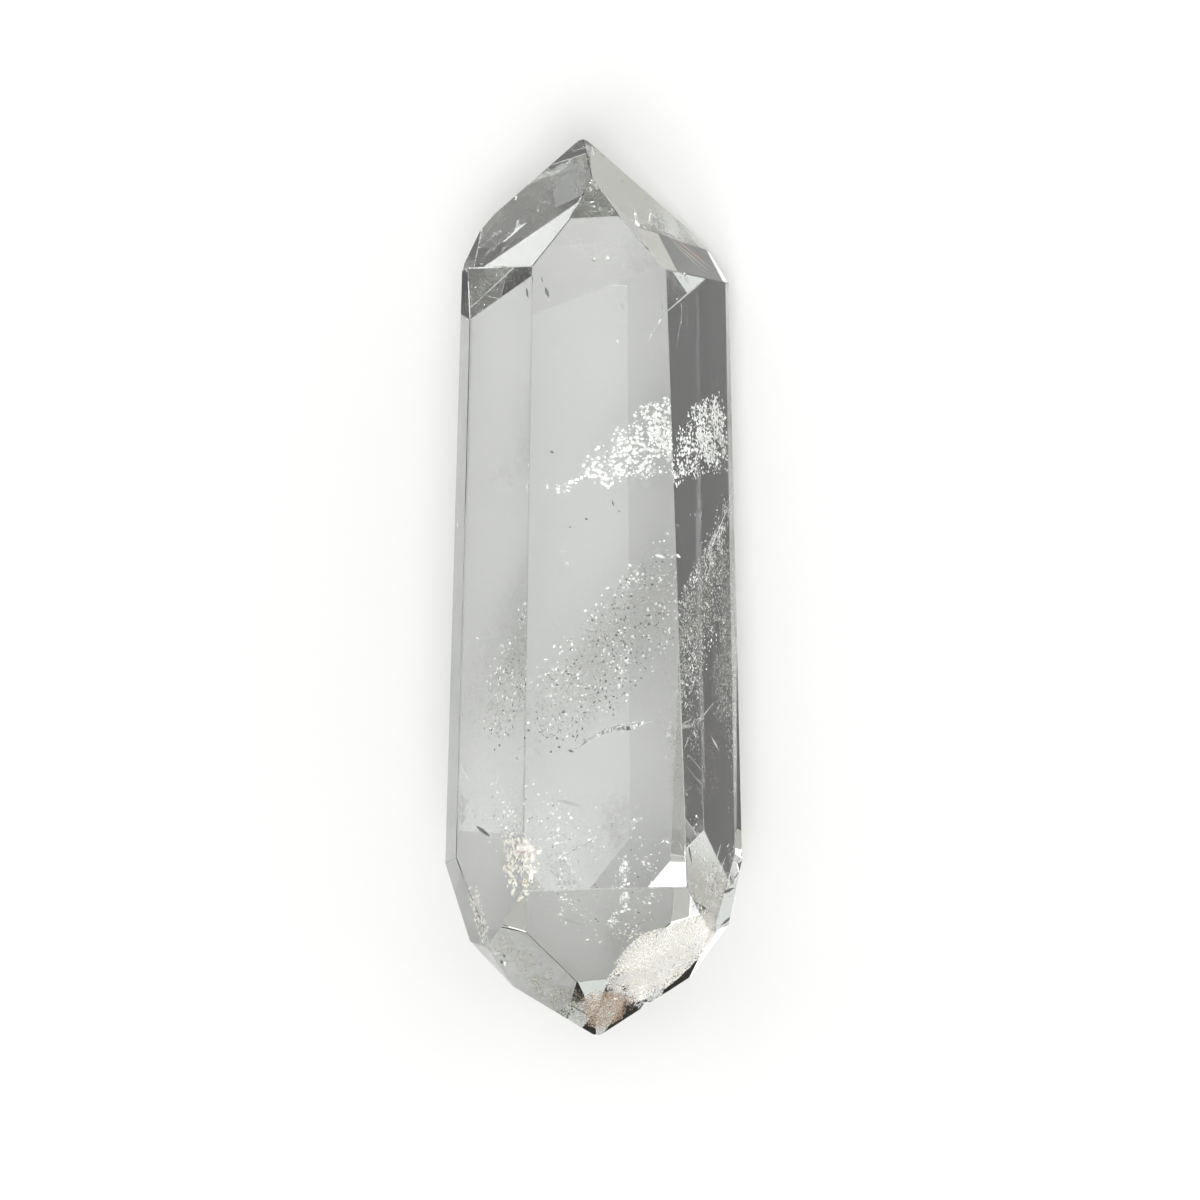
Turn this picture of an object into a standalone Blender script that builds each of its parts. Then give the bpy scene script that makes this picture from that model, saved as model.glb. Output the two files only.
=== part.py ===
"""A double terminated quartz point: one clear natural crystal, lying on the broad face at its back.

Every flat face of the crystal is one cut through a block, given by three values: its azimuth round
the long axis, how steeply it leans, and how far it stands from the middle. While it is cut, the
crystal lies along +Y with its first tip at +Y and its front face up. Azimuths start at that front
face and grow towards +X. The edges are then worn a little, the stone is rolled onto its resting
face with the origin under its middle, and the chips are knocked out of it.
"""

import math
from typing import NamedTuple

import bmesh
import bpy
from mathutils import Matrix, Vector

MM = 0.001

# Driving dimensions, in millimetres.
BLOCK_SIZE = 120.0        # the rough block that the crystal is cut from
TIP_WEAR = 0.3            # how much of each tip is worn flat
EDGE_WEAR = 0.07          # width of the worn line along each edge


class Side(NamedTuple):
    """A face of the prism."""

    azimuth: float        # degrees round the axis from the front
    taper: float          # degrees that it leans in towards the first tip
    distance: float       # millimetres from the axis at mid-length


class Slope(NamedTuple):
    """A face of the pyramid at one end."""

    azimuth: float        # degrees round the axis from the front
    steepness: float      # degrees from square across the crystal
    reach: float          # millimetres from mid-length to where its plane meets the axis


class Chip(NamedTuple):
    """A shell-shaped break, the hollow that a flattened pebble would leave."""

    place: tuple          # millimetres, the pebble's centre before the stone is laid down
    radii: tuple          # millimetres, its half sizes
    turn: tuple           # degrees about X, Y and Z
    ripple: float         # millimetres, height of the rings that the break leaves


SIDES = {
    "front": Side(0.0, 1.0, 10.9),
    "front_right": Side(65.3, 2.2, 10.2),
    "back_right": Side(125.4, -0.6, 9.9),
    "resting": Side(168.0, 1.7, 8.7),
    "back_left": Side(-122.3, 1.5, 10.8),
    "front_left": Side(-59.5, 1.3, 10.6),
}

FIRST_END = {
    "broad_left": Slope(-55.9, 56.2, 42.4),
    "broad_right": Slope(63.9, 51.5, 38.4),
    "broad_back": Slope(-176.3, 51.2, 36.5),
    "small_front": Slope(-1.5, 63.3, 51.4),
    "small_back_right": Slope(121.4, 51.9, 43.2),
    "small_back_left": Slope(-115.9, 50.5, 44.1),
}

SECOND_END = {
    "broad_front": Slope(1.4, 47.0, 35.3),
    "broad_back_right": Slope(124.1, 60.0, 39.0),
    "broad_back_left": Slope(-121.0, 55.6, 39.2),
    "small_left": Slope(-62.4, 47.3, 40.7),
    "small_right": Slope(69.6, 55.6, 43.5),
    "small_back": Slope(163.8, 53.6, 41.4),
}

CHIPS = {
    "second_tip_break": Chip((3.4, -32.9, 2.85), (2.25, 2.7, 1.0), (43.0, 0.0, 0.0), 0.04),
    "second_tip_flake": Chip((1.7, -32.5, 2.85), (0.75, 2.0, 0.5), (43.0, 0.0, -20.0), 0.0),
    "second_edge_nick": Chip((3.75, -34.45, 0.85), (0.9, 0.5, 0.45), (43.0, 0.0, 37.0), 0.0),
    "first_shoulder_nick": Chip((-11.8, 28.3, -0.4), (0.3, 0.45, 0.5), (0.0, 0.0, 20.0), 0.0),
    "second_left_nick": Chip((-7.95, -30.05, 5.15), (0.35, 0.5, 0.25), (43.0, 0.0, 30.0), 0.0),
}
RIPPLE_RINGS = 3


def clear_scene():
    """Remove whatever the file opened with."""
    for thing in list(bpy.data.objects):
        bpy.data.objects.remove(thing, do_unlink=True)


def outward(azimuth, lift):
    """The unit direction at this azimuth, turned by lift degrees towards the first tip."""
    around, up = math.radians(azimuth), math.radians(lift)
    return Vector((math.sin(around) * math.cos(up), math.sin(up), math.cos(around) * math.cos(up)))


def cut_plane(mesh, point, normal):
    """Take away what lies past the plane and close the cut with one flat face."""
    geometry = list(mesh.verts) + list(mesh.edges) + list(mesh.faces)
    cut = bmesh.ops.bisect_plane(
        mesh, geom=geometry, dist=1e-7, plane_co=point, plane_no=normal, clear_outer=True)
    rim = [item for item in cut["geom_cut"] if isinstance(item, bmesh.types.BMEdge)]
    if rim:
        bmesh.ops.contextual_create(mesh, geom=rim)


def cut_sides(mesh):
    """Cut the prism faces."""
    for side in SIDES.values():
        on_face = outward(side.azimuth, 0.0) * side.distance * MM
        cut_plane(mesh, on_face, outward(side.azimuth, side.taper))


def cut_end(mesh, slopes, end):
    """Cut the pyramid at one end and wear its tip. The end is 1 for the first and -1 for the second."""
    for slope in slopes.values():
        on_axis = Vector((0.0, end * slope.reach * MM, 0.0))
        cut_plane(mesh, on_axis, outward(slope.azimuth, end * (90.0 - slope.steepness)))
    tip = max(end * vert.co.y for vert in mesh.verts)
    worn = Vector((0.0, end * (tip - TIP_WEAR * MM), 0.0))
    cut_plane(mesh, worn, Vector((0.0, end, 0.0)))


def crystal_mesh():
    """The crystal with all its flat faces, front face up."""
    mesh = bmesh.new()
    bmesh.ops.create_cube(mesh, size=BLOCK_SIZE * MM)
    cut_sides(mesh)
    cut_end(mesh, FIRST_END, 1)
    cut_end(mesh, SECOND_END, -1)
    bmesh.ops.recalc_face_normals(mesh, faces=mesh.faces)
    return mesh


def laid_down(mesh):
    """The move that rolls the crystal onto its resting face, with the origin under its middle."""
    resting = SIDES["resting"]
    down = Vector((0.0, 0.0, -1.0))
    roll = outward(resting.azimuth, resting.taper).rotation_difference(down).to_matrix().to_4x4()
    corners = [roll @ vert.co for vert in mesh.verts]
    low = Vector([min(corner[axis] for corner in corners) for axis in range(3)])
    high = Vector([max(corner[axis] for corner in corners) for axis in range(3)])
    base = Vector(((low.x + high.x) / 2, (low.y + high.y) / 2, low.z))
    return Matrix.Translation(-base) @ roll


def chip_mesh(chip):
    """The pebble whose hollow the chip is, with shallow rings round its short axis."""
    mesh = bmesh.new()
    bmesh.ops.create_icosphere(mesh, subdivisions=4 if chip.ripple else 2, radius=1.0)
    for vert in mesh.verts:
        across = math.hypot(vert.co.x, vert.co.y)
        ring = chip.ripple * math.cos(2 * math.pi * RIPPLE_RINGS * across)
        vert.co = Vector([part * size for part, size in zip(vert.co, chip.radii)]) * MM
        vert.co.z += math.copysign(ring * MM, vert.co.z)
    turn = Matrix.Identity(4)
    for axis, angle in zip("XYZ", chip.turn):
        turn = Matrix.Rotation(math.radians(angle), 4, axis) @ turn
    place = Matrix.Translation(Vector(chip.place) * MM)
    bmesh.ops.transform(mesh, matrix=place @ turn, verts=mesh.verts)
    return mesh


def add_object(name, mesh, move):
    """Put a mesh in the scene as an object, with its move already in its points."""
    bmesh.ops.transform(mesh, matrix=move, verts=mesh.verts)
    data = bpy.data.meshes.new(name)
    mesh.to_mesh(data)
    mesh.free()
    thing = bpy.data.objects.new(name, data)
    bpy.context.scene.collection.objects.link(thing)
    return thing


def rock_crystal():
    """Clear colourless quartz with glossy natural faces."""
    material = bpy.data.materials.new("rock_crystal")
    material.use_nodes = True
    shader = material.node_tree.nodes["Principled BSDF"]
    shader.inputs["Base Color"].default_value = (0.93, 0.95, 0.94, 1.0)
    shader.inputs["Roughness"].default_value = 0.0
    shader.inputs["Metallic"].default_value = 0.0
    shader.inputs["IOR"].default_value = 1.544
    shader.inputs["Transmission Weight"].default_value = 1.0
    return material


def wear_edges(crystal):
    """Round every edge very slightly, as handling does."""
    wear = crystal.modifiers.new("edge_wear", "BEVEL")
    wear.limit_method = "ANGLE"
    wear.angle_limit = math.radians(5.0)
    wear.width = EDGE_WEAR * MM
    wear.segments = 1


def knock_out(crystal, name, chip, move):
    """Take one chip out of the crystal."""
    cutter = add_object(name, chip_mesh(chip), move)
    cutter.hide_render = True
    cutter.display_type = "WIRE"
    cut = crystal.modifiers.new(name, "BOOLEAN")
    cut.operation = "DIFFERENCE"
    cut.solver = "EXACT"
    cut.object = cutter


def main():
    """Build the crystal."""
    clear_scene()
    mesh = crystal_mesh()
    move = laid_down(mesh)
    crystal = add_object("quartz_point", mesh, move)
    crystal.data.materials.append(rock_crystal())
    wear_edges(crystal)
    for name, chip in CHIPS.items():
        knock_out(crystal, name, chip, move)


if __name__ == "__main__":
    main()
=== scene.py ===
"""The looks of a double terminated quartz point, lying on the broad face at its back.

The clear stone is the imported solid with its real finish. Inside it this script puts what makes it a
natural stone: veils of tiny gas pockets, thin cracks, needles and a crumbly clump. The camera looks
square onto the front face, as the photograph does.
"""

import logging
import math
from dataclasses import dataclass
from enum import Enum

import bmesh
import bpy
from mathutils import Matrix, Vector, noise


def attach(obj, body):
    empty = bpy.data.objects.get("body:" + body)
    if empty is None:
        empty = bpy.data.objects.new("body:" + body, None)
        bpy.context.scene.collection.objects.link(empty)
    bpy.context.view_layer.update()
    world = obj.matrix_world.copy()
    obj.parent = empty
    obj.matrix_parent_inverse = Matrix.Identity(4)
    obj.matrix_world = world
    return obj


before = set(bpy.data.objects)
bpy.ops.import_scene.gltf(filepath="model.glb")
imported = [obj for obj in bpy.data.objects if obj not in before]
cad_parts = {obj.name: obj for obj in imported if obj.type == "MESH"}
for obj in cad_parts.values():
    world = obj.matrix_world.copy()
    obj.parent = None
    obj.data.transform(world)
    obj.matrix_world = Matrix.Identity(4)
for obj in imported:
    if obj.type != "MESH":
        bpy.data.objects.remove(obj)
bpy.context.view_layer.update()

LOG = logging.getLogger("quartz_point")
BODY = "root"
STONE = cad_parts["quartz_point"]
MM = 0.001
QUARTZ_IOR = 1.544

Place = tuple[float, float, float]


def linear(hex_colour: str) -> tuple[float, float, float, float]:
    """Turn an sRGB hex colour into the linear colour that a shader takes.

    Args:
        hex_colour: the colour as "#RRGGBB".

    Returns:
        Red, green, blue and an alpha of 1.
    """
    parts = [int(hex_colour[at:at + 2], 16) / 255 for at in (1, 3, 5)]
    red, green, blue = [part / 12.92 if part <= 0.04045 else ((part + 0.055) / 1.055) ** 2.4 for part in parts]
    return red, green, blue, 1.0


def add_node(tree: bpy.types.NodeTree, kind: str, feeds: dict | None = None, **settings) -> bpy.types.Node:
    """Add a node to a tree, with its settings and what feeds it.

    Args:
        tree: the node tree.
        kind: the node's type.
        feeds: for an input's name or number, the socket that feeds it or the value it holds.
        settings: the node's own properties.

    Returns:
        The new node.
    """
    node = tree.nodes.new(kind)
    for name, value in settings.items():
        setattr(node, name, value)
    for key, value in (feeds or {}).items():
        if isinstance(value, bpy.types.NodeSocket):
            tree.links.new(value, node.inputs[key])
        else:
            node.inputs[key].default_value = value
    return node


@dataclass(frozen=True)
class StoneView:
    """The photograph's view of the stone. It gives the place of whatever shows at a pixel."""

    middle: Vector = Vector((0.506, -0.748, 8.696))   # mm, the middle of the stone's long axis
    resting_azimuth: float = 168.0                    # degrees round that axis, front to resting face
    resting_taper: float = 1.7                        # degrees that the resting face leans in
    face_height: float = 11.0                         # mm from the axis to the front face
    lens_distance: float = 200.0                      # mm from the front face to the lens
    pixel: float = 0.0803                             # mm that one pixel covers on the front face
    frame_size: int = 1200                            # pixels along each side of the photograph
    rim_search: int = 30                              # pixels to look inwards for the stone's rim
    sensor: float = 36.0                              # mm

    def turn(self) -> Matrix:
        """The turn from the stone's upright frame, front face up, to how it lies."""
        around = math.radians(self.resting_azimuth)
        lean = math.radians(self.resting_taper)
        outward = Vector((math.sin(around) * math.cos(lean), math.sin(lean), math.cos(around) * math.cos(lean)))
        return outward.rotation_difference(Vector((0.0, 0.0, -1.0))).to_matrix()

    def in_stone(self, right: float, up: float, out: float) -> Vector:
        """The place in metres of a point given in millimetres in the stone's upright frame."""
        return (self.middle + self.turn() @ Vector((right, up, out))) * MM

    def eye(self) -> Vector:
        """Where the lens is, in metres."""
        return self.in_stone(0.0, 0.0, self.face_height + self.lens_distance)

    def behind_front(self, across: float, down: float, depth: float) -> Vector:
        """The point that shows at a pixel through the front face, or its plane past its edges.

        Args:
            across: pixels from the photograph's left edge.
            down: pixels from its top edge.
            depth: millimetres straight in below the front face.

        Returns:
            The place in metres.
        """
        spread = self.pixel * (1 + depth / (QUARTZ_IOR * self.lens_distance))
        half = self.frame_size / 2
        return self.in_stone((across - half) * spread, (half - down) * spread, self.face_height - depth)

    def along_sight(self, across: float, down: float, deep: float) -> Vector:
        """The point that shows at a pixel, this far along the ray that enters the stone there.

        A pixel that just misses the stone gives way to the nearest one in its row that meets it.

        Args:
            across: pixels from the photograph's left edge.
            down: pixels from its top edge.
            deep: millimetres along the bent ray.

        Returns:
            The place in metres.
        """
        eye = self.eye()
        inward = math.copysign(1.0, self.frame_size / 2 - across)
        for nudge in range(self.rim_search):
            aim = (self.behind_front(across + inward * nudge, down, 0.0) - eye).normalized()
            met, place, normal, _ = STONE.ray_cast(eye, aim)
            if met:
                break
        else:
            raise ValueError(f"the stone doesn't show near pixel {across}, {down}")
        squeeze = 1 / QUARTZ_IOR
        facing = -normal.dot(aim)
        bent = aim * squeeze + normal * (squeeze * facing - math.sqrt(1 - squeeze ** 2 * (1 - facing ** 2)))
        return place + bent.normalized() * deep * MM

    def camera(self) -> bpy.types.Object:
        """Make the camera square onto the front face, with the photograph's framing."""
        data = bpy.data.cameras.new("photo_view")
        data.sensor_width = self.sensor
        data.lens = self.sensor * self.lens_distance / (self.frame_size * self.pixel)
        data.clip_start = 1 * MM
        camera = bpy.data.objects.new("photo_view", data)
        bpy.context.scene.collection.objects.link(camera)
        camera.matrix_world = Matrix.Translation(self.eye()) @ self.turn().to_4x4()
        bpy.context.scene.camera = camera
        return camera


VIEW = StoneView()


def direction_of(azimuth: float, elevation: float) -> Vector:
    """The unit direction at this azimuth from +X towards +Y and elevation above the floor, in degrees."""
    around, up = math.radians(azimuth), math.radians(elevation)
    return Vector((math.cos(around) * math.cos(up), math.sin(around) * math.cos(up), math.sin(up)))


@dataclass(frozen=True)
class Panel:
    """One soft panel of the studio: a bright window or a dark drape, seen from the stone."""

    azimuth: float      # degrees from +X towards +Y
    elevation: float    # degrees above the floor
    radius: float       # degrees, its even part
    edge: float         # degrees over which it fades out
    colour: str         # sRGB hex
    level: float        # how bright it is, where white paper in this light is 1


@dataclass(frozen=True)
class Studio:
    """The pale floor and the soft light round the stone."""

    # The tent of light: degrees above the floor, and how bright it is there.
    tent: tuple[tuple[float, float], ...] = (
        (-90.0, 0.9), (0.0, 1.2), (12.0, 1.4), (25.0, 1.4), (50.0, 1.0), (65.0, 2.2), (90.0, 2.8))
    tent_colour: str = "#FFFFFF"
    panels: tuple[Panel, ...] = (
        Panel(195.0, 81.0, 8.0, 5.0, "#8F9896", 0.1),
        Panel(187.0, 53.0, 10.0, 6.0, "#8F9896", 0.0),
        Panel(224.5, 45.0, 7.0, 6.0, "#8F9896", 0.0),
        Panel(349.5, -4.0, 8.0, 6.0, "#8F9896", 0.0),
        Panel(248.0, 10.0, 14.5, 5.0, "#F4F3EC", 0.2),
        Panel(190.0, 22.0, 12.5, 6.0, "#F4F3EC", 0.38),
        Panel(157.0, 24.0, 8.0, 7.0, "#F4F3EC", 0.62),
        Panel(37.0, 17.0, 18.0, 6.0, "#FFFFFF", 2.8),
        Panel(40.0, 43.0, 18.0, 6.0, "#FFFFFF", 2.8),
        Panel(123.0, 46.0, 16.0, 9.0, "#FFFFFF", 2.4),
        Panel(5.0, 27.0, 14.0, 8.0, "#FFFFFF", 2.4),
        Panel(288.0, 60.0, 15.0, 6.0, "#FFFFFF", 9.0),
        Panel(45.0, 22.0, 5.0, 4.0, "#F4F3EC", 0.7),
        Panel(22.0, 47.0, 4.5, 3.5, "#F4F3EC", 0.7),
    )
    backdrop: str = "#C4C2B8"       # what shows behind the floor's far edge, which hides the panels
    floor_colour: str = "#B8B8B7"
    painted_falloff_colour: str = "#8D8B83"     # painted shade: the floor away from the stone, out of the photograph's frame, darkened as if the light fell off there
    falloff_start: float = 100.0        # mm from the stone, where the painted shade starts
    falloff_end: float = 165.0         # mm, where the painted shade is full
    floor_radius: float = 1.5       # metres
    floor_gap: float = 0.02         # mm of air under the stone

    def floor(self) -> bpy.types.Object:
        """Make the floor, a wide disc of matt white paper just under the stone."""
        shape = bmesh.new()
        bmesh.ops.create_circle(shape, cap_ends=True, segments=96, radius=self.floor_radius)
        data = bpy.data.meshes.new("floor")
        shape.to_mesh(data)
        shape.free()
        data.transform(Matrix.Translation((0.0, 0.0, -self.floor_gap * MM)))
        floor = bpy.data.objects.new("floor", data)
        bpy.context.scene.collection.objects.link(floor)
        data.materials.append(self.paper())
        return floor

    def paper(self) -> bpy.types.Material:
        """Uncoated paper that scatters light evenly, with no gloss: white round the stone, and pale grey beyond as
        painted shade, where the light would fall off.
        """
        paper = bpy.data.materials.new("paper_with_painted_falloff")
        paper.use_nodes = True
        tree = paper.node_tree
        shader = tree.nodes["Principled BSDF"]
        spot = add_node(tree, "ShaderNodeTexCoord").outputs["Object"]
        reach = add_node(tree, "ShaderNodeVectorMath", {0: spot}, operation="LENGTH").outputs["Value"]
        # Painted shade: the paper darkens from the falloff start to its end, as if the light fell off away from the
        # stone.
        share = add_node(tree, "ShaderNodeMapRange", {
            "Value": reach, "From Min": self.falloff_start * MM, "From Max": self.falloff_end * MM},
            interpolation_type="SMOOTHSTEP")
        colour = add_node(
            tree, "ShaderNodeMix",
            {0: share.outputs["Result"], 6: linear(self.floor_colour), 7: linear(self.painted_falloff_colour)},
            data_type="RGBA")
        tree.links.new(colour.outputs[2], shader.inputs["Base Color"])
        shader.inputs["Roughness"].default_value = 1.0
        shader.inputs["Specular IOR Level"].default_value = 0.0
        return paper

    def light(self) -> None:
        """Light the scene with the tent and its panels, all set by direction alone."""
        world = bpy.data.worlds.new("light_tent")
        bpy.context.scene.world = world
        world.use_nodes = True
        tree = world.node_tree
        tree.nodes.clear()
        direction = add_node(tree, "ShaderNodeTexCoord").outputs["Generated"]
        height = add_node(tree, "ShaderNodeSeparateXYZ", {"Vector": direction}).outputs["Z"]
        place = add_node(tree, "ShaderNodeMapRange", {"Value": height, "From Min": -1.0}).outputs["Result"]
        ramp = add_node(tree, "ShaderNodeValToRGB", {"Fac": place})
        brightest = max(level for _, level in self.tent)
        self.fill_ramp(ramp.color_ramp, brightest)
        tent = linear(self.tent_colour)
        shade = add_node(tree, "ShaderNodeVectorMath", {0: ramp.outputs["Color"], 1: tent[:3]}, operation="MULTIPLY")
        colour = add_node(
            tree, "ShaderNodeVectorMath", {0: shade.outputs[0], "Scale": brightest}, operation="SCALE").outputs[0]
        for panel in self.panels:
            colour = self.add_panel(tree, direction, colour, panel)
        seen = add_node(tree, "ShaderNodeLightPath").outputs["Is Camera Ray"]
        colour = add_node(
            tree, "ShaderNodeMix", {0: seen, 6: colour, 7: linear(self.backdrop)}, data_type="RGBA",
            clamp_result=False).outputs[2]
        glow = add_node(tree, "ShaderNodeBackground", {"Color": colour})
        add_node(tree, "ShaderNodeOutputWorld", {"Surface": glow.outputs["Background"]})

    def fill_ramp(self, ramp: bpy.types.ColorRamp, brightest: float) -> None:
        """Give the ramp one stop for each height of the tent, as a share of the brightest."""
        while len(ramp.elements) < len(self.tent):
            ramp.elements.new(0.5)
        for element, (elevation, level) in zip(ramp.elements, self.tent):
            element.position = (math.sin(math.radians(elevation)) + 1) / 2
            element.color = (*[level / brightest] * 3, 1.0)

    @staticmethod
    def add_panel(
            tree: bpy.types.NodeTree, direction: bpy.types.NodeSocket, colour: bpy.types.NodeSocket,
            panel: Panel) -> bpy.types.NodeSocket:
        """Lay one panel over the light so far.

        Args:
            tree: the world's node tree.
            direction: the socket with the direction looked in.
            colour: the socket with the light so far.
            panel: the panel.

        Returns:
            The socket with the light after the panel.
        """
        nearness = add_node(
            tree, "ShaderNodeVectorMath", {0: direction, 1: direction_of(panel.azimuth, panel.elevation)},
            operation="DOT_PRODUCT")
        cover = add_node(tree, "ShaderNodeMapRange", {
            "Value": nearness.outputs["Value"],
            "From Min": math.cos(math.radians(panel.radius + panel.edge)),
            "From Max": math.cos(math.radians(panel.radius)),
        }, interpolation_type="SMOOTHSTEP")
        glow = [part * panel.level for part in linear(panel.colour)[:3]]
        mixed = add_node(
            tree, "ShaderNodeMix", {0: cover.outputs["Result"], 6: colour, 7: (*glow, 1.0)},
            data_type="RGBA", clamp_result=False)
        return mixed.outputs[2]

    def set_view(self) -> None:
        """Show the light as it is, with no film curve."""
        bpy.context.scene.view_settings.view_transform = "Standard"
        bpy.context.scene.view_settings.look = "None"


@dataclass(frozen=True)
class RockCrystal:
    """Colourless natural quartz with polished faces: clear right through, with a faint grey-green depth."""

    tint: str = "#FDFDFD"
    roughness: float = 0.0
    depth_colour: str = "#DCDFDC"       # the more this falls short of white, the more the stone absorbs
    depth_density: float = 24.0         # per metre
    wave_length: float = 4.0            # mm, the faint waves that polishing leaves
    wave_height: float = 0.002          # mm

    def material(self) -> bpy.types.Material:
        """Make the material."""
        material = bpy.data.materials.new("polished_rock_crystal")
        material.use_nodes = True
        tree = material.node_tree
        shader = tree.nodes["Principled BSDF"]
        shader.inputs["Base Color"].default_value = linear(self.tint)
        shader.inputs["Roughness"].default_value = self.roughness
        shader.inputs["IOR"].default_value = QUARTZ_IOR
        shader.inputs["Transmission Weight"].default_value = 1.0
        spot = add_node(tree, "ShaderNodeTexCoord").outputs["Object"]
        waves = add_node(tree, "ShaderNodeTexNoise", {
            "Vector": spot, "Scale": 1 / (self.wave_length * MM), "Detail": 1.0})
        bump = add_node(tree, "ShaderNodeBump", {
            "Height": waves.outputs["Fac"], "Distance": self.wave_height * MM, "Strength": 1.0})
        tree.links.new(bump.outputs["Normal"], shader.inputs["Normal"])
        depth = add_node(tree, "ShaderNodeVolumeAbsorption", {
            "Color": linear(self.depth_colour), "Density": self.depth_density})
        tree.links.new(depth.outputs["Volume"], tree.nodes["Material Output"].inputs["Volume"])
        return material


@dataclass(frozen=True)
class Flake:
    """What a flake inside the stone is made of, as a plain finish with a little mottling."""

    name: str
    colour: str
    shade: str                # sRGB hex, what the mottling turns it towards
    roughness: float
    ior: float = 1.45
    clear: float = 0.0        # 1 where the flake is an empty pocket that light passes through
    mirror: float = 0.0       # 1 where the flake turns back light like a mirror
    grain: float = 0.4        # mm across one patch of mottling

    def material(self) -> bpy.types.Material:
        """Make the material."""
        material = bpy.data.materials.new(self.name)
        material.use_nodes = True
        tree = material.node_tree
        shader = tree.nodes["Principled BSDF"]
        spot = add_node(tree, "ShaderNodeTexCoord").outputs["Object"]
        patches = add_node(tree, "ShaderNodeTexNoise", {
            "Vector": spot, "Scale": 1 / (self.grain * MM), "Detail": 2.0})
        mottled = add_node(
            tree, "ShaderNodeMix",
            {0: patches.outputs["Fac"], 6: linear(self.colour), 7: linear(self.shade)}, data_type="RGBA")
        tree.links.new(mottled.outputs[2], shader.inputs["Base Color"])
        shader.inputs["Roughness"].default_value = self.roughness
        shader.inputs["IOR"].default_value = self.ior
        shader.inputs["Transmission Weight"].default_value = self.clear
        shader.inputs["Metallic"].default_value = self.mirror
        return material


class Finish(Enum):
    """The finishes that the things inside the stone have."""

    # Thin films of gas in healed cracks: they turn back nearly all light, so they look bright white.
    GAS_FILM = Flake("gas_film", "#FFFFFF", "#FAFAF6", 0.3, mirror=1.0)
    # Dust-like bubbles, too small to shine: painted highlight and painted shade, mottled white where some would catch
    # the light and dark grey where some would stand dark against it.
    BUBBLES_PAINTED_LIGHT_AND_SHADE = Flake("bubbles_painted_light_and_shade", "#F2F2EC", "#4A4D49", 0.6, grain=0.15)
    # Clay dust along a healed crack: a soft beige haze.
    BEIGE_HAZE = Flake("beige_haze", "#B9B7A2", "#98988A", 0.7)
    # Clouds of the finest bubbles near the second tip: milky white with a little cream.
    MILKY_DUST = Flake("milky_dust", "#FFFFFF", "#FFFBEF", 0.35, mirror=0.8, grain=1.5)
    # A dim brown reflection, painted as brown flakes deep in the stone.
    BROWN_REFLECTION_PAINTED = Flake("painted_brown_reflection", "#8A7065", "#5C4A43", 0.7)
    # Empty pockets: light passes into air and out again, so they have dark rims and small glints.
    GAS_POCKET = Flake("gas_pocket", "#FFFFFF", "#F4F4F4", 0.05, ior=1 / QUARTZ_IOR, clear=1.0)
    # Crumbs of cream-coloured clay-like mineral.
    CREAM_CRUMB = Flake("cream_crumb", "#FFFEF9", "#FBF4E6", 0.4, mirror=0.6)
    # Grains of a dark mineral, and dark grey painted shade for cracks that turn the light away from the eye.
    DARK_MINERAL_AND_SHADE = Flake("dark_mineral_and_painted_shade", "#5D605C", "#3F423F", 0.4)
    # A rusty film of iron oxide, thin enough to be only beige.
    RUST_FILM = Flake("rust_film", "#D9C2AE", "#B79C8A", 0.5)
    # Painted split light: the colours that light splits into along one thin crack, painted as bands from its lower
    # edge to its upper one.
    PAINTED_SPLIT_GREEN = Flake("painted_split_green", "#B4B58A", "#8FA08A", 0.4)
    PAINTED_SPLIT_YELLOW = Flake("painted_split_yellow", "#D6B877", "#C3AD74", 0.4)
    PAINTED_SPLIT_RED = Flake("painted_split_red", "#CF8F72", "#B98478", 0.4)


def made(finish: Finish) -> bpy.types.Material:
    """The material of a finish, made the first time that it is asked for."""
    return bpy.data.materials.get(finish.value.name) or finish.value.material()


def smooth_path(points: list[Vector], count: int) -> list[Vector]:
    """A smooth path through points.

    Args:
        points: the points, in order.
        count: how many points to give back, evenly spread over the spans.

    Returns:
        Points on a Catmull-Rom curve.
    """
    ends = [points[0] * 2 - points[1], *points, points[-1] * 2 - points[-2]]
    path = []
    for step in range(count):
        at = step / (count - 1) * (len(points) - 1)
        span = min(int(at), len(points) - 2)
        t = at - span
        before, here, there, after = ends[span:span + 4]
        path.append(0.5 * (
            2 * here + (there - before) * t + (2 * before - 5 * here + 4 * there - after) * t ** 2
            + (3 * here - before - 3 * there + after) * t ** 3))
    return path


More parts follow.
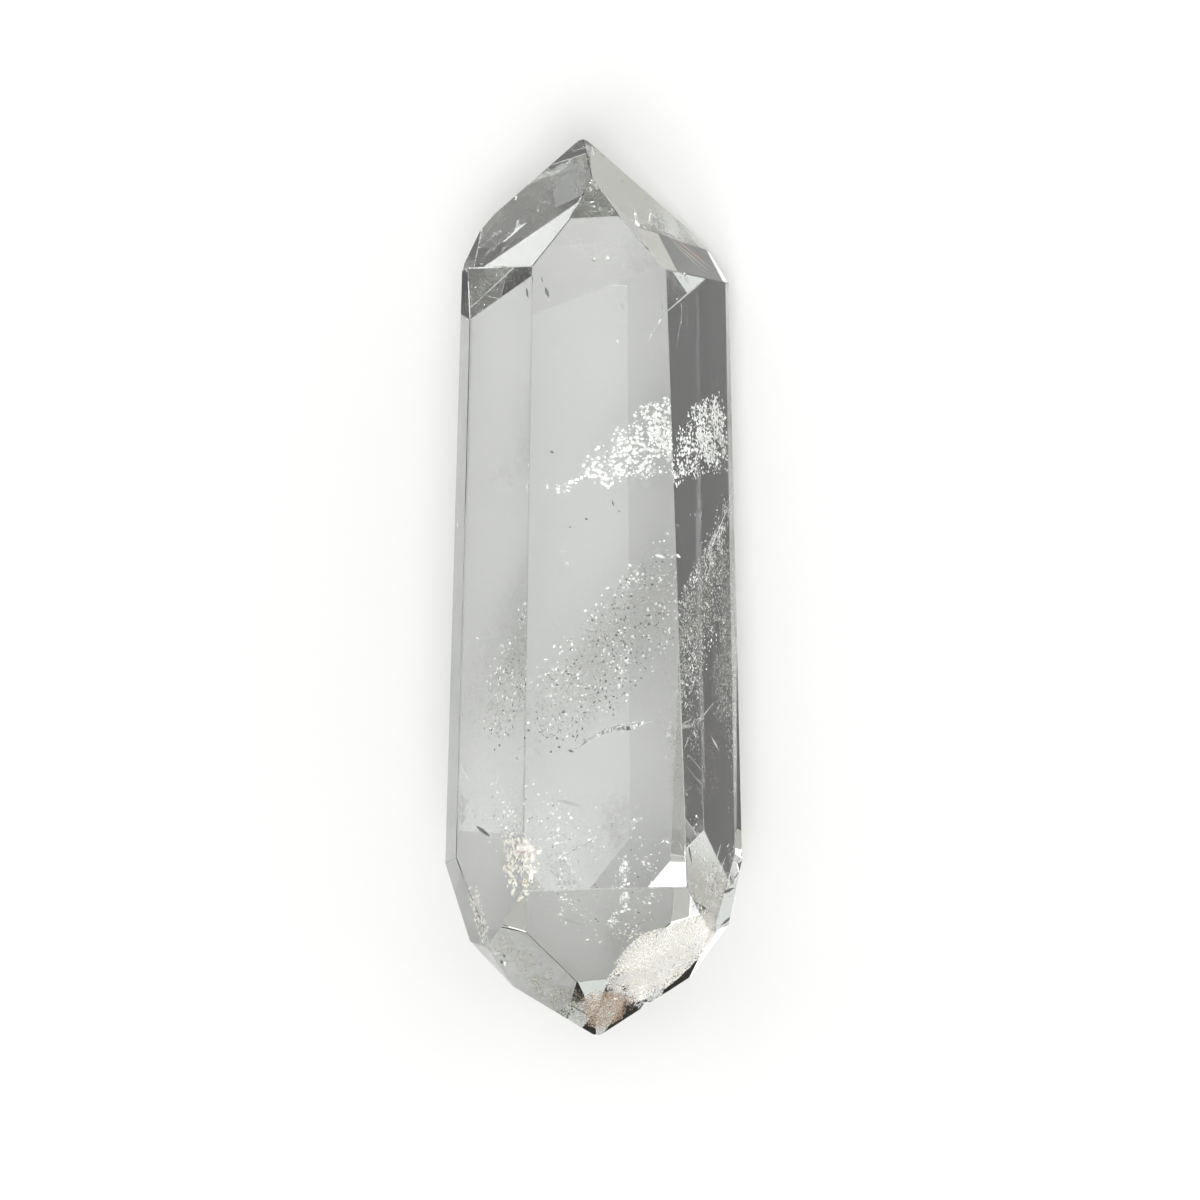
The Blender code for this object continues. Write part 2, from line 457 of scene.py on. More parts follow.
class FlakeScatter:
    """The Geometry Nodes tree that scatters flakes over a sheet."""

    INPUTS = (
        ("Density", "NodeSocketFloat"), ("Seed", "NodeSocketInt"), ("Smallest", "NodeSocketFloat"),
        ("Largest", "NodeSocketFloat"), ("Rarity", "NodeSocketFloat"), ("Stretch", "NodeSocketFloat"),
        ("Thinness", "NodeSocketFloat"), ("Facing", "NodeSocketVector"), ("Tilt", "NodeSocketFloat"),
        ("Spin", "NodeSocketFloat"), ("Spread", "NodeSocketFloat"), ("Patch Size", "NodeSocketFloat"),
        ("Patch Edge", "NodeSocketFloat"), ("Finish", "NodeSocketMaterial"))

    def __init__(self) -> None:
        """Build the tree once, for every veil to share."""
        self.tree = bpy.data.node_groups.new("flake_scatter", "GeometryNodeTree")
        face = self.tree.interface
        face.new_socket("Geometry", in_out="INPUT", socket_type="NodeSocketGeometry")
        for name, kind in self.INPUTS:
            face.new_socket(name, in_out="INPUT", socket_type=kind)
        face.new_socket("Geometry", in_out="OUTPUT", socket_type="NodeSocketGeometry")
        self.given = self.node("NodeGroupInput").outputs
        points = self.points()
        flakes = self.node("GeometryNodeInstanceOnPoints", {
            "Points": points, "Instance": self.flake(), "Rotation": self.rotation(), "Scale": self.scale()})
        solid = self.node("GeometryNodeRealizeInstances", {"Geometry": flakes.outputs["Instances"]})
        dressed = self.node("GeometryNodeSetMaterial", {
            "Geometry": solid.outputs["Geometry"], "Material": self.given["Finish"]})
        self.node("NodeGroupOutput", {"Geometry": dressed.outputs["Geometry"]})

    def node(self, kind: str, feeds: dict | None = None, **settings) -> bpy.types.Node:
        """Add a node to this tree."""
        return add_node(self.tree, kind, feeds, **settings)

    def maths(self, operation: str, first: object, second: object) -> bpy.types.NodeSocket:
        """The result of one sum on two values or sockets."""
        return self.node("ShaderNodeMath", {0: first, 1: second}, operation=operation).outputs["Value"]

    def chance(self, salt: int) -> bpy.types.NodeSocket:
        """A random value from 0 to 1 for each flake, different for each salt."""
        seed = self.maths("ADD", self.given["Seed"], salt)
        drawn = self.node("FunctionNodeRandomValue", {"Seed": seed}, data_type="FLOAT")
        return drawn.outputs[1]

    def points(self) -> bpy.types.NodeSocket:
        """Points on the sheet: thick in patches, thin towards its rim, and a little off it either way."""
        rim = self.node("GeometryNodeInputNamedAttribute", {"Name": "thickness"}, data_type="FLOAT")
        patches = self.node("ShaderNodeTexNoise", {
            "Scale": self.maths("DIVIDE", 1.0, self.given["Patch Size"]), "Detail": 3.0})
        patch = self.node("ShaderNodeMapRange", {
            "Value": patches.outputs["Fac"], "From Min": self.given["Patch Edge"],
            "From Max": self.maths("ADD", self.given["Patch Edge"], 0.12)}, interpolation_type="SMOOTHSTEP")
        cover = self.maths("MULTIPLY", rim.outputs["Attribute"], patch.outputs["Result"])
        density = self.maths("MULTIPLY", cover, self.given["Density"])
        self.spread = self.node("GeometryNodeDistributePointsOnFaces", {
            "Mesh": self.given["Geometry"], "Density": density, "Seed": self.given["Seed"]})
        off = self.maths("MULTIPLY", self.maths("SUBTRACT", self.chance(7), 0.5), self.given["Spread"])
        shift = self.node("ShaderNodeVectorMath", {0: self.spread.outputs["Normal"], "Scale": off}, operation="SCALE")
        moved = self.node("GeometryNodeSetPosition", {
            "Geometry": self.spread.outputs["Points"], "Offset": shift.outputs["Vector"]})
        return moved.outputs["Geometry"]

    def flake(self) -> bpy.types.NodeSocket:
        """One flake of unit size, a closed form of ten faces."""
        return self.node("GeometryNodeMeshUVSphere", {"Segments": 5, "Rings": 2, "Radius": 0.5}).outputs["Mesh"]

    def rotation(self) -> bpy.types.NodeSocket:
        """How each flake lies: flat to one plane and along the sheet's grain, then tilted and spun by chance."""
        grain = self.node("GeometryNodeInputNamedAttribute", {"Name": "grain"}, data_type="FLOAT_VECTOR")
        flat = self.node("FunctionNodeAlignRotationToVector", {"Vector": self.given["Facing"]}, axis="Z")
        along = self.node("FunctionNodeAlignRotationToVector", {
            "Rotation": flat.outputs["Rotation"], "Vector": grain.outputs["Attribute"]},
            axis="X", pivot_axis="Z")
        turns = [
            self.maths("MULTIPLY", self.maths("SUBTRACT", self.chance(salt), 0.5), self.given[name])
            for salt, name in ((1, "Tilt"), (2, "Tilt"), (3, "Spin"))]
        angles = self.node("ShaderNodeCombineXYZ", dict(enumerate(turns)))
        turn = self.node("FunctionNodeEulerToRotation", {"Euler": angles.outputs["Vector"]})
        tipped = self.node("FunctionNodeRotateRotation", {
            "Rotation": along.outputs["Rotation"], "Rotate By": turn.outputs["Rotation"]}, rotation_space="LOCAL")
        return tipped.outputs["Rotation"]

    def scale(self) -> bpy.types.NodeSocket:
        """The size of each flake: mostly small, a few large, longer along the grain and thin across."""
        share = self.maths("POWER", self.chance(4), self.given["Rarity"])
        room = self.maths("SUBTRACT", self.given["Largest"], self.given["Smallest"])
        size = self.maths("ADD", self.given["Smallest"], self.maths("MULTIPLY", share, room))
        length = self.maths("MULTIPLY", size, self.given["Stretch"])
        thin = self.maths("MULTIPLY", size, self.given["Thinness"])
        return self.node("ShaderNodeCombineXYZ", {0: length, 1: size, 2: thin}).outputs["Vector"]

    def scatter(self, name: str, sheet: bpy.types.Mesh, values: dict[str, object]) -> bpy.types.Object:
        """Scatter flakes over one sheet.

        Args:
            name: the piece's name.
            sheet: the sheet, with its thickness and grain attributes.
            values: a value for each of the tree's inputs, in metres and radians.

        Returns:
            The flakes, as one plain mesh.
        """
        holder = bpy.data.objects.new(name + "_sheet", sheet)
        bpy.context.scene.collection.objects.link(holder)
        scatter = holder.modifiers.new("scatter", "NODES")
        scatter.node_group = self.tree
        for item in self.tree.interface.items_tree:
            if item.in_out == "INPUT" and item.name in values:
                scatter[item.identifier] = values[item.name]
        graph = bpy.context.evaluated_depsgraph_get()
        flakes = bpy.data.meshes.new_from_object(holder.evaluated_get(graph))
        bpy.data.objects.remove(holder)
        bpy.data.meshes.remove(sheet)
        flakes.name = name
        piece = bpy.data.objects.new(name, flakes)
        bpy.context.scene.collection.objects.link(piece)
        return piece


@dataclass(frozen=True)
class Veil:
    """A healed crack: a curved sheet inside the stone, covered with tiny flakes.

    The sheet lies between two edges, each given by places as they show through the front face.
    """

    name: str
    finish: Finish
    upper: tuple[Place, ...]
    lower: tuple[Place, ...]
    per_square_mm: float
    smallest: float = 0.03         # mm
    largest: float = 0.2           # mm
    rarity: float = 3.0            # how much rarer the large flakes are
    stretch: float = 1.3
    thinness: float = 0.35
    facing: tuple[float, float] = (0.0, 80.0)   # degrees, azimuth and elevation of the flakes' common normal
    tilt: float = 70.0             # degrees, how far a flake may lean away from it
    spin: float = 360.0            # degrees
    spread: float = 0.5            # mm, how thick the sheet is
    patch: float = 1.3             # mm across one patch
    patch_edge: float = 0.45       # from 0, flakes all over, to 1, none
    seed: int = 1
    by_sight: bool = False         # the depths run along the bent rays, through whatever face shows there
    columns: int = 28
    rows: int = 9
    crumple: float = 0.35          # mm

    def sheet(self) -> bpy.types.Mesh:
        """Make the curved sheet, with its thickness and grain at every point."""
        locate = VIEW.along_sight if self.by_sight else VIEW.behind_front
        tops = smooth_path([locate(*place) for place in self.upper], self.columns)
        feet = smooth_path([locate(*place) for place in self.lower], self.columns)
        shape = bmesh.new()
        thickness = shape.verts.layers.float.new("thickness")
        grain = shape.verts.layers.float_vector.new("grain")
        out = VIEW.turn() @ Vector((0.0, 0.0, 1.0))
        grid = []
        for column, (top, foot) in enumerate(zip(tops, feet)):
            line = []
            for row in range(self.rows):
                place = top.lerp(foot, row / (self.rows - 1))
                wave = noise.noise(place / (3 * MM) + Vector((self.seed, 0.0, 0.0)))
                vert = shape.verts.new(place + out * wave * self.crumple * MM)
                along = math.sin(math.pi * (column + 0.5) / self.columns)
                across = math.sin(math.pi * (row + 0.5) / self.rows)
                vert[thickness] = min(1.0, 2.5 * along) * min(1.0, 1.6 * across)
                vert[grain] = (tops[min(column + 1, self.columns - 1)] - tops[max(column - 1, 0)]).normalized()
                line.append(vert)
            grid.append(line)
        for left, right in zip(grid, grid[1:]):
            for row in range(self.rows - 1):
                shape.faces.new((left[row], left[row + 1], right[row + 1], right[row]))
        data = bpy.data.meshes.new(self.name + "_sheet")
        shape.to_mesh(data)
        shape.free()
        return data

    def build(self, scatter: FlakeScatter) -> bpy.types.Object:
        """Cover the sheet with flakes and give back the piece."""
        return scatter.scatter(self.name, self.sheet(), {
            "Density": self.per_square_mm / MM ** 2, "Seed": self.seed,
            "Smallest": self.smallest * MM, "Largest": self.largest * MM, "Rarity": self.rarity,
            "Stretch": self.stretch, "Thinness": self.thinness, "Facing": tuple(direction_of(*self.facing)),
            "Tilt": math.radians(2 * self.tilt), "Spin": math.radians(self.spin),
            "Spread": self.spread * MM, "Patch Size": self.patch * MM, "Patch Edge": self.patch_edge,
            "Finish": made(self.finish)})


VEILS = (
    Veil(
        "bright_veil", Finish.GAS_FILM,
        ((582, 462, 9.5), (598, 440, 10.5), (620, 424, 11.3), (645, 404, 12.0), (688, 392, 12.6), (718, 388, 12.5)),
        ((590, 486, 10.0), (606, 488, 11.0), (640, 482, 11.8), (668, 474, 12.4), (700, 472, 12.8), (722, 470, 12.8)),
        per_square_mm=85, largest=0.34, rarity=3.5, facing=(10, 74), tilt=22, seed=3, patch=0.8,
        patch_edge=0.46),
    Veil(
        "bright_knot", Finish.GAS_FILM,
        ((640, 406, 12.0), (655, 402, 12.2), (680, 398, 12.5), (714, 396, 12.5)),
        ((646, 430, 12.2), (655, 458, 12.4), (682, 460, 12.6), (718, 462, 12.8)),
        per_square_mm=120, largest=0.32, rarity=3.5, facing=(10, 74), tilt=22, seed=5, patch=0.7,
        patch_edge=0.46),
    Veil(
        "veil_tail", Finish.GAS_FILM,
        ((544, 484, 3.5), (556, 484, 5.0), (570, 482, 7.0), (584, 470, 8.5), (594, 456, 9.5)),
        ((550, 492, 4.0), (562, 494, 5.5), (576, 488, 7.5), (590, 478, 9.0), (600, 464, 10.0)),
        per_square_mm=60, largest=0.32, rarity=3, facing=(10, 74), tilt=22, seed=6, patch=0.5,
        patch_edge=0.48),
    Veil(
        "speck_veil", Finish.BUBBLES_PAINTED_LIGHT_AND_SHADE,
        ((520, 690, 13.5), (560, 650, 13.3), (600, 600, 13.0), (640, 560, 12.8), (680, 540, 12.5), (715, 500, 12.0)),
        ((530, 745, 14.0), (580, 735, 13.8), (630, 690, 13.5), (665, 640, 13.2), (700, 620, 12.8), (722, 600, 12.4)),
        per_square_mm=70, smallest=0.06, largest=0.26, rarity=2.5, seed=11, patch=0.8, patch_edge=0.46),
    Veil(
        "speck_veil_glints", Finish.GAS_FILM,
        ((520, 680, 13.4), (560, 640, 13.2), (600, 595, 12.9), (640, 555, 12.7), (680, 520, 12.4), (715, 480, 12.0)),
        ((530, 745, 14.0), (580, 735, 13.8), (630, 700, 13.5), (665, 660, 13.2), (700, 640, 12.8), (722, 610, 12.4)),
        per_square_mm=24, largest=0.26, rarity=4, facing=(10, 74), tilt=24, seed=12, patch=1.2,
        patch_edge=0.46),
    Veil(
        "speck_veil_darks", Finish.DARK_MINERAL_AND_SHADE,
        ((522, 700, 13.4), (560, 655, 13.2), (600, 605, 12.9), (640, 560, 12.7), (676, 545, 12.5)),
        ((532, 760, 14.0), (580, 745, 13.8), (630, 700, 13.5), (658, 660, 13.3), (680, 640, 13.1)),
        per_square_mm=16, smallest=0.05, largest=0.24, rarity=2.5, seed=13, patch=0.8, patch_edge=0.44),
    Veil(
        "lower_darks", Finish.DARK_MINERAL_AND_SHADE,
        ((520, 780, 10.0), (550, 800, 10.4), (600, 812, 10.8), (650, 824, 11.0)),
        ((524, 860, 10.6), (556, 880, 11.0), (604, 900, 11.4), (650, 900, 11.6)),
        per_square_mm=4, smallest=0.05, largest=0.2, rarity=2.5, seed=25, patch=1.0, patch_edge=0.46),
    Veil(
        "lower_specks", Finish.GAS_FILM,
        ((520, 770, 10.0), (560, 790, 10.5), (610, 810, 11.0), (660, 830, 11.0)),
        ((525, 860, 11.0), (560, 900, 11.5), (610, 930, 12.0), (660, 930, 12.0)),
        per_square_mm=14, largest=0.26, rarity=4, facing=(10, 74), tilt=40, seed=21, patch=1.6,
        patch_edge=0.46),
    Veil(
        "rising_feather", Finish.GAS_FILM,
        ((604, 906, 8.0), (612, 890, 8.0), (619, 872, 8.0), (623, 852, 8.0)),
        ((610, 912, 8.4), (622, 896, 8.4), (630, 878, 8.4), (631, 856, 8.4)),
        per_square_mm=140, largest=0.3, seed=31, patch=0.8, patch_edge=0.44),
    Veil(
        "veil_haze", Finish.BEIGE_HAZE,
        ((556, 668, 13.6), (600, 625, 13.3), (640, 590, 13.0), (672, 566, 12.8)),
        ((570, 706, 13.9), (615, 668, 13.5), (652, 632, 13.2), (680, 600, 12.9)),
        per_square_mm=160, smallest=0.04, largest=0.1, seed=14, patch=1.5, patch_edge=0.4),
    Veil(
        "right_margin", Finish.GAS_FILM,
        ((655, 726, 6.0), (660, 722, 6.0), (666, 726, 6.0), (672, 724, 6.0)),
        ((656, 742, 6.0), (662, 744, 6.0), (668, 740, 6.0), (674, 742, 6.0)),
        per_square_mm=60, largest=0.4, rarity=3, seed=15, patch=0.6, patch_edge=0.46),
    Veil(
        "milky_corner", Finish.MILKY_DUST,
        ((614, 962, 1.4), (640, 936, 1.4), (672, 926, 1.4), (698, 916, 1.4), (716, 906, 1.4)),
        ((632, 1005, 0.7), (651, 995, 0.6), (676, 980, 0.5), (701, 957, 0.4), (718, 930, 0.4)),
        per_square_mm=360, smallest=0.08, largest=0.16, rarity=2, facing=(262, 62), tilt=9, seed=16,
        spread=0.3, patch=2.2, patch_edge=0.2, by_sight=True, crumple=0.1),
    Veil(
        "break_bloom", Finish.MILKY_DUST,
        ((605, 980, 1.2), (616, 968, 1.4), (628, 962, 1.4), (642, 962, 1.4)),
        ((608, 1002, 1.0), (620, 1004, 1.0), (632, 1002, 1.0), (646, 994, 1.0)),
        per_square_mm=260, smallest=0.06, largest=0.16, rarity=2, facing=(262, 62), tilt=24, seed=18,
        spread=0.3, patch=1.0, patch_edge=0.36, by_sight=True, crumple=0.1),
    # Painted reflection: the dim brown tint in the lower right face, as brown flakes.
    Veil(
        "painted_brown_reflection", Finish.BROWN_REFLECTION_PAINTED,
        ((698, 726, 5.0), (706, 722, 5.0), (714, 724, 5.0), (722, 730, 5.0)),
        ((699, 792, 5.0), (706, 800, 5.0), (714, 798, 5.0), (722, 790, 5.0)),
        per_square_mm=110, smallest=0.03, largest=0.08, seed=17, patch=2.0, patch_edge=0.36, by_sight=True),
    Veil(
        "pale_hatch", Finish.GAS_FILM,
        ((544, 822, 8.0), (556, 816, 8.0), (572, 822, 8.0), (582, 832, 8.0)),
        ((548, 842, 8.2), (560, 850, 8.2), (574, 852, 8.2), (586, 848, 8.2)),
        per_square_mm=30, smallest=0.02, largest=0.1, seed=22, patch=0.6, patch_edge=0.5),
    Veil(
        "small_streaks", Finish.GAS_FILM,
        ((572, 894, 5.0), (580, 890, 5.0), (590, 896, 5.0), (598, 902, 5.0)),
        ((576, 912, 5.2), (584, 914, 5.2), (592, 916, 5.2), (600, 914, 5.2)),
        per_square_mm=26, largest=0.2, stretch=2.2, seed=24, patch=0.6, patch_edge=0.48),
    Veil(
        "crumbly_clump", Finish.CREAM_CRUMB,
        ((508, 834, 1.2), (501, 856, 1.2), (507, 880, 1.2), (514, 903, 1.2)),
        ((530, 834, 1.2), (537, 856, 1.2), (535, 880, 1.2), (523, 903, 1.2)),
        per_square_mm=20, smallest=0.08, largest=0.6, rarity=2, tilt=40, thinness=0.6, spread=0.8, seed=41,
        patch=0.8, patch_edge=0.4, by_sight=True),
    Veil(
        "clump_stain", Finish.RUST_FILM,
        ((514, 848, 0.9), (508, 866, 0.9), (510, 884, 0.9), (514, 900, 0.9)),
        ((532, 848, 0.9), (538, 866, 0.9), (535, 884, 0.9), (524, 900, 0.9)),
        per_square_mm=10, smallest=0.05, largest=0.24, rarity=2, seed=43, patch=0.6, patch_edge=0.44,
        by_sight=True),
    Veil(
        "clump_tail", Finish.CREAM_CRUMB,
        ((500, 796, 1.2), (506, 812, 1.2), (510, 826, 1.2), (508, 840, 1.2)),
        ((528, 796, 1.2), (529, 812, 1.2), (530, 826, 1.2), (528, 840, 1.2)),
        per_square_mm=14, largest=0.22, stretch=2.0, spin=90, seed=42, patch=0.7, patch_edge=0.48, by_sight=True),
    Veil(
        "corner_crumbs", Finish.CREAM_CRUMB,
        ((465, 886, 1.0), (471, 908, 1.0), (476, 926, 1.0), (482, 944, 1.0)),
        ((478, 886, 1.0), (483, 906, 1.0), (487, 924, 1.0), (490, 940, 1.0)),
        per_square_mm=60, largest=0.3, thinness=0.7, tilt=40, seed=44, patch=0.7, patch_edge=0.43,
        by_sight=True),
    Veil(
        "shoulder_feather", Finish.GAS_FILM,
        ((642, 856, 3.0), (643, 868, 3.0), (644, 882, 3.0), (648, 898, 3.0)),
        ((652, 854, 3.0), (656, 868, 3.0), (654, 882, 3.0), (658, 892, 3.0)),
        per_square_mm=50, largest=0.26, seed=46, patch=0.7, patch_edge=0.44),
    Veil(
        "cream_feather", Finish.CREAM_CRUMB,
        ((604, 940, 1.6), (616, 922, 1.6), (632, 920, 1.6), (652, 906, 1.6)),
        ((610, 954, 1.8), (624, 940, 1.8), (640, 938, 1.8), (660, 924, 1.8)),
        per_square_mm=30, largest=0.26, seed=47, patch=0.8, patch_edge=0.46, by_sight=True),
    Veil(
        "rusty_tip", Finish.RUST_FILM,
        ((580, 1000, 0.6), (596, 990, 0.6), (614, 992, 0.6), (636, 1000, 0.6)),
        ((586, 1025, 0.45), (598, 1029, 0.45), (613, 1024, 0.45), (638, 1008, 0.45)),
        per_square_mm=260, smallest=0.05, largest=0.12, rarity=2, facing=(262, 62), tilt=30, spread=0.2,
        seed=51, patch=1.2, patch_edge=0.33, by_sight=True, crumple=0.1),
    Veil(
        "tip_haze", Finish.BEIGE_HAZE,
        ((528, 972, 0.8), (548, 978, 0.8), (566, 986, 0.8), (588, 994, 0.8)),
        ((532, 992, 0.8), (550, 1005, 0.8), (570, 1016, 0.8), (592, 1028, 0.8)),
        per_square_mm=110, smallest=0.06, largest=0.14, rarity=2, seed=53, patch=1.0, patch_edge=0.42,
        by_sight=True),
    Veil(
        "left_haze", Finish.BEIGE_HAZE,
        ((488, 938, 1.0), (506, 932, 1.0), (532, 952, 1.0), (562, 978, 1.0)),
        ((492, 954, 1.0), (510, 972, 1.0), (532, 988, 1.0), (558, 1002, 1.0)),
        per_square_mm=80, smallest=0.05, largest=0.12, rarity=2, seed=54, patch=1.4, patch_edge=0.44,
        by_sight=True),
    Veil(
        "tip_dust", Finish.CREAM_CRUMB,
        ((525, 970, 0.8), (545, 975, 0.8), (565, 985, 0.8), (585, 992, 0.8)),
        ((530, 990, 0.8), (550, 1003, 0.8), (570, 1014, 0.8), (590, 1026, 0.8)),
        per_square_mm=20, smallest=0.02, largest=0.14, seed=52, patch=0.6, patch_edge=0.46, by_sight=True),
    Veil(
        "bright_streak", Finish.GAS_FILM,
        ((702, 556, 2.6), (712, 532, 2.5), (723, 505, 2.3), (731, 487, 2.0)),
        ((706, 578, 2.8), (718, 554, 2.6), (727, 528, 2.4), (733, 507, 2.0)),
        per_square_mm=60, smallest=0.02, largest=0.12, stretch=4.0, tilt=20, spin=40, seed=61, patch=0.8,
        patch_edge=0.42, by_sight=True),
    Veil(
        "inner_column", Finish.BUBBLES_PAINTED_LIGHT_AND_SHADE,
        ((682, 584, 4.0), (683, 630, 4.0), (684, 680, 4.0), (687, 760, 4.0)),
        ((702, 560, 4.0), (703, 630, 4.0), (704, 680, 4.0), (700, 760, 4.0)),
        per_square_mm=40, smallest=0.02, largest=0.12, stretch=3.0, spin=60, seed=62, patch=1.0,
        patch_edge=0.42, by_sight=True),
    Veil(
        "outer_column", Finish.BUBBLES_PAINTED_LIGHT_AND_SHADE,
        ((717, 560, 2.4), (719, 620, 2.4), (722, 680, 2.4), (726, 760, 2.4)),
        ((733, 540, 2.0), (735, 620, 2.0), (736, 680, 2.0), (737, 760, 2.0)),
        per_square_mm=60, smallest=0.02, largest=0.13, stretch=3.0, spin=60, spread=0.3, seed=63, patch=1.0,
        patch_edge=0.42, by_sight=True, crumple=0.1),
    Veil(
        "needle_cloud", Finish.GAS_FILM,
        ((700, 864, 2.0), (704, 880, 2.0), (706, 896, 2.0), (710, 920, 2.0)),
        ((728, 860, 2.0), (726, 880, 2.0), (722, 896, 2.0), (717, 920, 2.0)),
        per_square_mm=110, smallest=0.02, largest=0.12, stretch=3.0, spin=80, seed=64, patch=0.9,
        patch_edge=0.4, by_sight=True),
)


def piece_of(name: str, shape: bmesh.types.BMesh, finish: Finish) -> bpy.types.Object:
    """Turn a finished shape into a piece.

    Args:
        name: the piece's name.
        shape: the shape, which is freed.
        finish: its finish.

    Returns:
        The piece, in the scene.
    """
    bmesh.ops.recalc_face_normals(shape, faces=shape.faces)
    data = bpy.data.meshes.new(name)
    shape.to_mesh(data)
    shape.free()
    data.materials.append(made(finish))
    piece = bpy.data.objects.new(name, data)
    bpy.context.scene.collection.objects.link(piece)
    return piece


def add_band(shape: bmesh.types.BMesh, rings: list[list[Vector]]) -> None:
    """Add a closed form through rings of points, with a flat cap at each end."""
    made_rings = [[shape.verts.new(place) for place in ring] for ring in rings]
    count = len(made_rings[0])
    for here, there in zip(made_rings, made_rings[1:]):
        for at in range(count):
            after = (at + 1) % count
            shape.faces.new((here[at], here[after], there[after], there[at]))
    shape.faces.new(made_rings[0])
    shape.faces.new(list(reversed(made_rings[-1])))


@dataclass(frozen=True)
class Crack:
    """A crack seen nearly edge-on: a thin ragged band of gas that runs down into the stone."""

    name: str
    path: tuple[Place, ...]        # its upper rim, as it shows through the front face
    height: float                  # mm that it runs down at its middle
    lean: float = 20.0             # degrees from straight down, towards the first tip
    opening: float = 0.03          # mm
    jag: float = 0.1               # mm
    seed: int = 1
    steps: int = 40

    def build(self) -> bpy.types.Object:
        """Make the band, which thins out at both ends."""
        turn = VIEW.turn()
        lean = math.radians(self.lean)
        down = turn @ Vector((0.0, math.sin(lean), -math.cos(lean)))
        rim = smooth_path([VIEW.behind_front(*place) for place in self.path], self.steps)
        rings = []
        for step, place in enumerate(rim):
            along = rim[min(step + 1, self.steps - 1)] - rim[max(step - 1, 0)]
            side = along.cross(down).normalized()
            body = math.sin(math.pi * (step + 0.6) / (self.steps + 0.2))
            spot = place / (0.5 * MM) + Vector((0.0, 0.0, self.seed))
            ragged = place + (side * noise.noise(spot) + down * noise.noise(spot * 1.7)) * self.jag * MM
            foot = ragged + down * self.height * body * MM + side * noise.noise(spot * 0.6) * 2 * self.jag * MM
            gap = side * self.opening * math.sqrt(body) / 2 * MM
            rings.append([ragged - gap, foot - gap * 0.4, foot + gap * 0.4, ragged + gap])
        shape = bmesh.new()
        add_band(shape, rings)
        return piece_of(self.name, shape, Finish.GAS_POCKET)


@dataclass(frozen=True)
class Spindles:
    """Needles, lenses and grains: closed spindles, each from one place to another."""

    name: str
    finish: Finish
    lines: tuple[tuple[Place, Place, float], ...]    # from, to, and the width in mm
    flatness: float = 1.0
    sides: int = 6
    bulges: tuple[float, ...] = (0.08, 0.55, 0.9, 1.0, 0.8, 0.4, 0.06)

    def build(self) -> bpy.types.Object:
        """Make every spindle, as one joined piece."""
        shape = bmesh.new()
        for start, end, width in self.lines:
            tail, head = VIEW.along_sight(*start), VIEW.along_sight(*end)
            along = (head - tail).normalized()
            wide = along.orthogonal().normalized()
            deep = along.cross(wide) * self.flatness
            rings = []
            for step, bulge in enumerate(self.bulges):
                middle = tail.lerp(head, step / (len(self.bulges) - 1))
                reach = width * bulge / 2 * MM
                rings.append([
                    middle + (wide * math.cos(turn) + deep * math.sin(turn)) * reach
                    for turn in (2 * math.pi * side / self.sides for side in range(self.sides))])
            add_band(shape, rings)
        return piece_of(self.name, shape, self.finish)


@dataclass(frozen=True)
class EdgeWear:
    """The small bruises that handling leaves along the stone's edges."""

    name: str = "edge_bruises"
    widest: float = 0.12           # mm, the height of a face of the worn line along an edge
    shortest: float = 1.5          # mm, its length
    sunk: float = 0.08             # mm below the surface
    per_square_mm: float = 2.2
    smallest: float = 0.02         # mm
    largest: float = 0.13          # mm
    rarity: float = 3.0            # how much rarer the large bruises are
    stretch: float = 1.8
    thinness: float = 0.6
    facing: Place = (0.0, 0.0, 1.0)
    turned: float = 1.0            # radians, how much they are turned by chance
    spread: float = 0.02           # mm either way
    patch: float = 2.5             # mm across one patch
    patch_edge: float = 0.45       # from 0, bruises all along, to 1, none
    seed: int = 71

    def worn_line(self) -> bpy.types.Mesh:
        """A copy of the worn line along the edges, sunk a little."""
        stone = STONE.data
        shape = bmesh.new()
        thickness = shape.verts.layers.float.new("thickness")
        grain = shape.verts.layers.float_vector.new("grain")
        for face in stone.polygons:
            corners = [stone.vertices[index].co for index in face.vertices]
            sides = [there - here for here, there in zip(corners, corners[1:] + corners[:1])]
            longest = max(sides, key=lambda side: side.length)
            if longest.length < self.shortest * MM or 2 * face.area / longest.length > self.widest * MM:
                continue
            verts = [shape.verts.new(corner - face.normal * self.sunk * MM) for corner in corners]
            for vert in verts:
                vert[thickness] = 1.0
                vert[grain] = longest.normalized()
            shape.faces.new(verts)
        data = bpy.data.meshes.new(self.name + "_sheet")
        shape.to_mesh(data)
        shape.free()
        return data

    def build(self, scatter: FlakeScatter) -> bpy.types.Object:
        """Scatter the bruises along the edges."""
        return scatter.scatter(self.name, self.worn_line(), {
            "Density": self.per_square_mm / MM ** 2, "Seed": self.seed,
            "Smallest": self.smallest * MM, "Largest": self.largest * MM, "Rarity": self.rarity,
            "Stretch": self.stretch, "Thinness": self.thinness, "Facing": self.facing, "Tilt": self.turned,
            "Spin": self.turned, "Spread": self.spread * MM, "Patch Size": self.patch * MM,
            "Patch Edge": self.patch_edge, "Finish": made(Finish.GAS_FILM)})


CRACKS = (
    Crack("long_crack", (
        (566, 752, 9.0), (580, 747, 9.2), (592, 740, 9.4), (604, 735, 9.6), (616, 732, 9.8), (630, 731, 10.0),
        (640, 727, 10.2), (650, 722, 10.4), (659, 723, 10.6)), height=0.9, seed=2),
    Crack("crack_branch", ((601, 732, 9.2), (611, 729, 9.4), (625, 726, 9.6), (638, 722, 9.8)), height=0.5, seed=4),
    Crack("low_crack", ((566, 855, 9.0), (575, 851, 9.0), (585, 846, 9.0), (597, 838, 9.0)), height=0.5, seed=6),
    Crack("corner_crack", ((659, 845, 6.0), (664, 841, 6.0), (668, 843, 6.0), (674, 841, 6.0)), height=0.4, seed=8),
    Crack("faint_crack", (
        (659, 296, 6.0), (663, 314, 6.0), (655, 328, 6.2), (645, 350, 6.4)), height=0.12, opening=0.015, seed=9),
)

